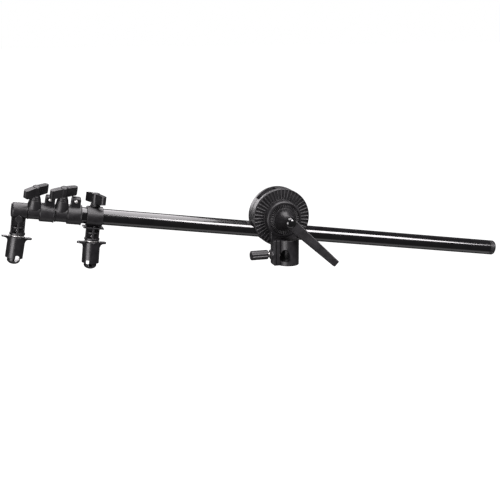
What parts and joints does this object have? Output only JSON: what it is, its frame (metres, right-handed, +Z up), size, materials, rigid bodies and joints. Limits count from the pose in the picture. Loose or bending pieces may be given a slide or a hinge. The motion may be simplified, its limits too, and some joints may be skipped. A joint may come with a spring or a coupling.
{
  "type": "reflector holder arm",
  "caption": "Telescoping boom arm that clamps on a light stand and holds a folding reflector by its rim with two sprung clips.",
  "frame": {"origin": "centre of the stand socket's mouth", "axes": "+Z up along the stand socket, the clamp bolt along Y with its lever on the -Y side, and the boom along X with its clips on the -X side"},
  "size_m": [0.7369, 0.0914, 0.1462],
  "materials": {
    "tube": "gloss",
    "head": "matte",
    "moulding": "matte",
    "grip": "satin",
    "lever": "satin",
    "gloss": "gloss",
    "nickel": "polished",
    "steel": "satin",
    "liner": "matte"
  },
  "bodies": {
    "bracket": {"stand_bracket": "head", "pivot_bush": "liner", "friction_ring": "liner", "thrust_washer": "nickel"},
    "socket_screw": {"socket_screw_stud": "nickel", "socket_screw_shoe": "nickel", "socket_screw_grip": "grip"},
    "lever": {"clamp_lever": "lever", "lever_nut": "steel", "lever_cap": "gloss"},
    "head": {"front_jaw": "head"},
    "rear_clamp": {"rear_jaw": "head", "rear_washer": "nickel", "clamp_bolt": "steel"},
    "boom_carrier": {"end_plug": "moulding"},
    "outer_boom": {"outer_tube": "tube", "lock_collar_2": "moulding", "collar_2_screw": "nickel", "collar_2_nut": "nickel"},
    "knob_2": {"knob_2_stud": "steel", "knob_2_grip": "grip"},
    "middle_carrier": {"middle_guide": "liner"},
    "middle_boom": {"middle_tube": "tube", "lock_collar_1": "moulding", "collar_1_screw": "nickel", "collar_1_nut": "nickel"},
    "knob_1": {"knob_1_stud": "steel", "knob_1_grip": "grip"},
    "inner_carrier": {"inner_guide": "liner"},
    "inner_boom": {"inner_tube": "tube", "elbow": "moulding", "clip_1_washer": "nickel", "clip_1_swivel_pin": "steel"},
    "clip_1": {"clip_1_core": "moulding", "clip_1_spring": "steel"},
    "clip_1_grip": {"clip_1_sleeve": "moulding"},
    "slider_carrier": {"slider_liner": "liner"},
    "slider": {"slider_collar": "moulding", "clip_2_washer": "nickel", "clip_2_swivel_pin": "steel"},
    "knob_3": {"knob_3_stud": "steel", "knob_3_grip": "grip"},
    "clip_2": {"clip_2_core": "moulding", "clip_2_spring": "steel"},
    "clip_2_grip": {"clip_2_sleeve": "moulding"}
  },
  "joints": [
    {"name": "boom_tilt", "type": "hinge", "parent": "bracket", "child": "head", "pos_m": [0, 0.029, 0.0645], "axis": [0, 1, 0], "range_deg": [-80, 80]},
    {"name": "lever_turn", "type": "hinge", "parent": "bracket", "child": "lever", "pos_m": [0, 0.029, 0.0645], "axis": [0, -1, 0], "range_deg": [0, 360]},
    {"name": "jaw_open", "type": "slide", "parent": "head", "child": "rear_clamp", "axis": [0, 1, 0], "range_m": [0, 0.00125]},
    {"name": "boom_slide", "type": "slide", "parent": "head", "child": "boom_carrier", "axis": [0.9901, 0, -0.1402], "range_m": [-0.29, 0.2]},
    {"name": "boom_roll", "type": "hinge", "parent": "boom_carrier", "child": "outer_boom", "pos_m": [-0.00301, 0.029, 0.04321], "axis": [0.9901, 0, -0.1402], "continuous": true},
    {"name": "middle_slide", "type": "slide", "parent": "outer_boom", "child": "middle_carrier", "axis": [-0.9901, 0, 0.1402], "range_m": [0, 0.5]},
    {"name": "middle_roll", "type": "hinge", "parent": "middle_carrier", "child": "middle_boom", "pos_m": [-0.00301, 0.029, 0.04321], "axis": [0.9901, 0, -0.1402], "continuous": true},
    {"name": "inner_slide", "type": "slide", "parent": "middle_boom", "child": "inner_carrier", "axis": [-0.9901, 0, 0.1402], "range_m": [0, 0.48]},
    {"name": "inner_roll", "type": "hinge", "parent": "inner_carrier", "child": "inner_boom", "pos_m": [-0.00301, 0.029, 0.04321], "axis": [0.9901, 0, -0.1402], "range_deg": [-95, 150]},
    {"name": "slider_slide", "type": "slide", "parent": "outer_boom", "child": "slider_carrier", "axis": [0.9901, 0, -0.1402], "range_m": [-0.003, 0.205]},
    {"name": "slider_roll", "type": "hinge", "parent": "slider_carrier", "child": "slider", "pos_m": [-0.00301, 0.029, 0.04321], "axis": [0.9901, 0, -0.1402], "continuous": true},
    {"name": "knob_1_turn", "type": "hinge", "parent": "middle_boom", "child": "knob_1", "pos_m": [-0.34342, 0.029, 0.09142], "axis": [0.1338, -0.299, 0.9448], "range_deg": [0, 90]},
    {"name": "knob_2_turn", "type": "hinge", "parent": "outer_boom", "child": "knob_2", "pos_m": [-0.30782, 0.029, 0.08638], "axis": [0.1338, -0.299, 0.9448], "range_deg": [0, 105]},
    {"name": "knob_3_turn", "type": "hinge", "parent": "slider", "child": "knob_3", "pos_m": [-0.26356, 0.029, 0.08011], "axis": [0.1402, 0, 0.9901], "range_deg": [-70, 0]},
    {"name": "socket_screw_turn", "type": "hinge", "parent": "bracket", "child": "socket_screw", "pos_m": [0, 0, 0.016], "axis": [-1, 0, 0], "range_deg": [0, 720]},
    {"name": "clip_1_swivel", "type": "hinge", "parent": "inner_boom", "child": "clip_1", "pos_m": [-0.36666, 0.029, 0.06138], "axis": [0.197, 0, 0.9804], "continuous": true},
    {"name": "clip_1_sleeve_slide", "type": "slide", "parent": "clip_1", "child": "clip_1_grip", "axis": [0.197, 0, 0.9804], "range_m": [0, 0.009], "stiffness_N_per_m": 600, "springref_m": -0.004, "deforming": ["clip_1_spring"]},
    {"name": "clip_2_swivel", "type": "hinge", "parent": "slider", "child": "clip_2", "pos_m": [-0.26819, 0.029, 0.04743], "axis": [0.1073, 0, 0.9942], "continuous": true},
    {"name": "clip_2_sleeve_slide", "type": "slide", "parent": "clip_2", "child": "clip_2_grip", "axis": [0.1073, 0, 0.9942], "range_m": [0, 0.009], "stiffness_N_per_m": 600, "springref_m": -0.004, "deforming": ["clip_2_spring"]}
  ]
}
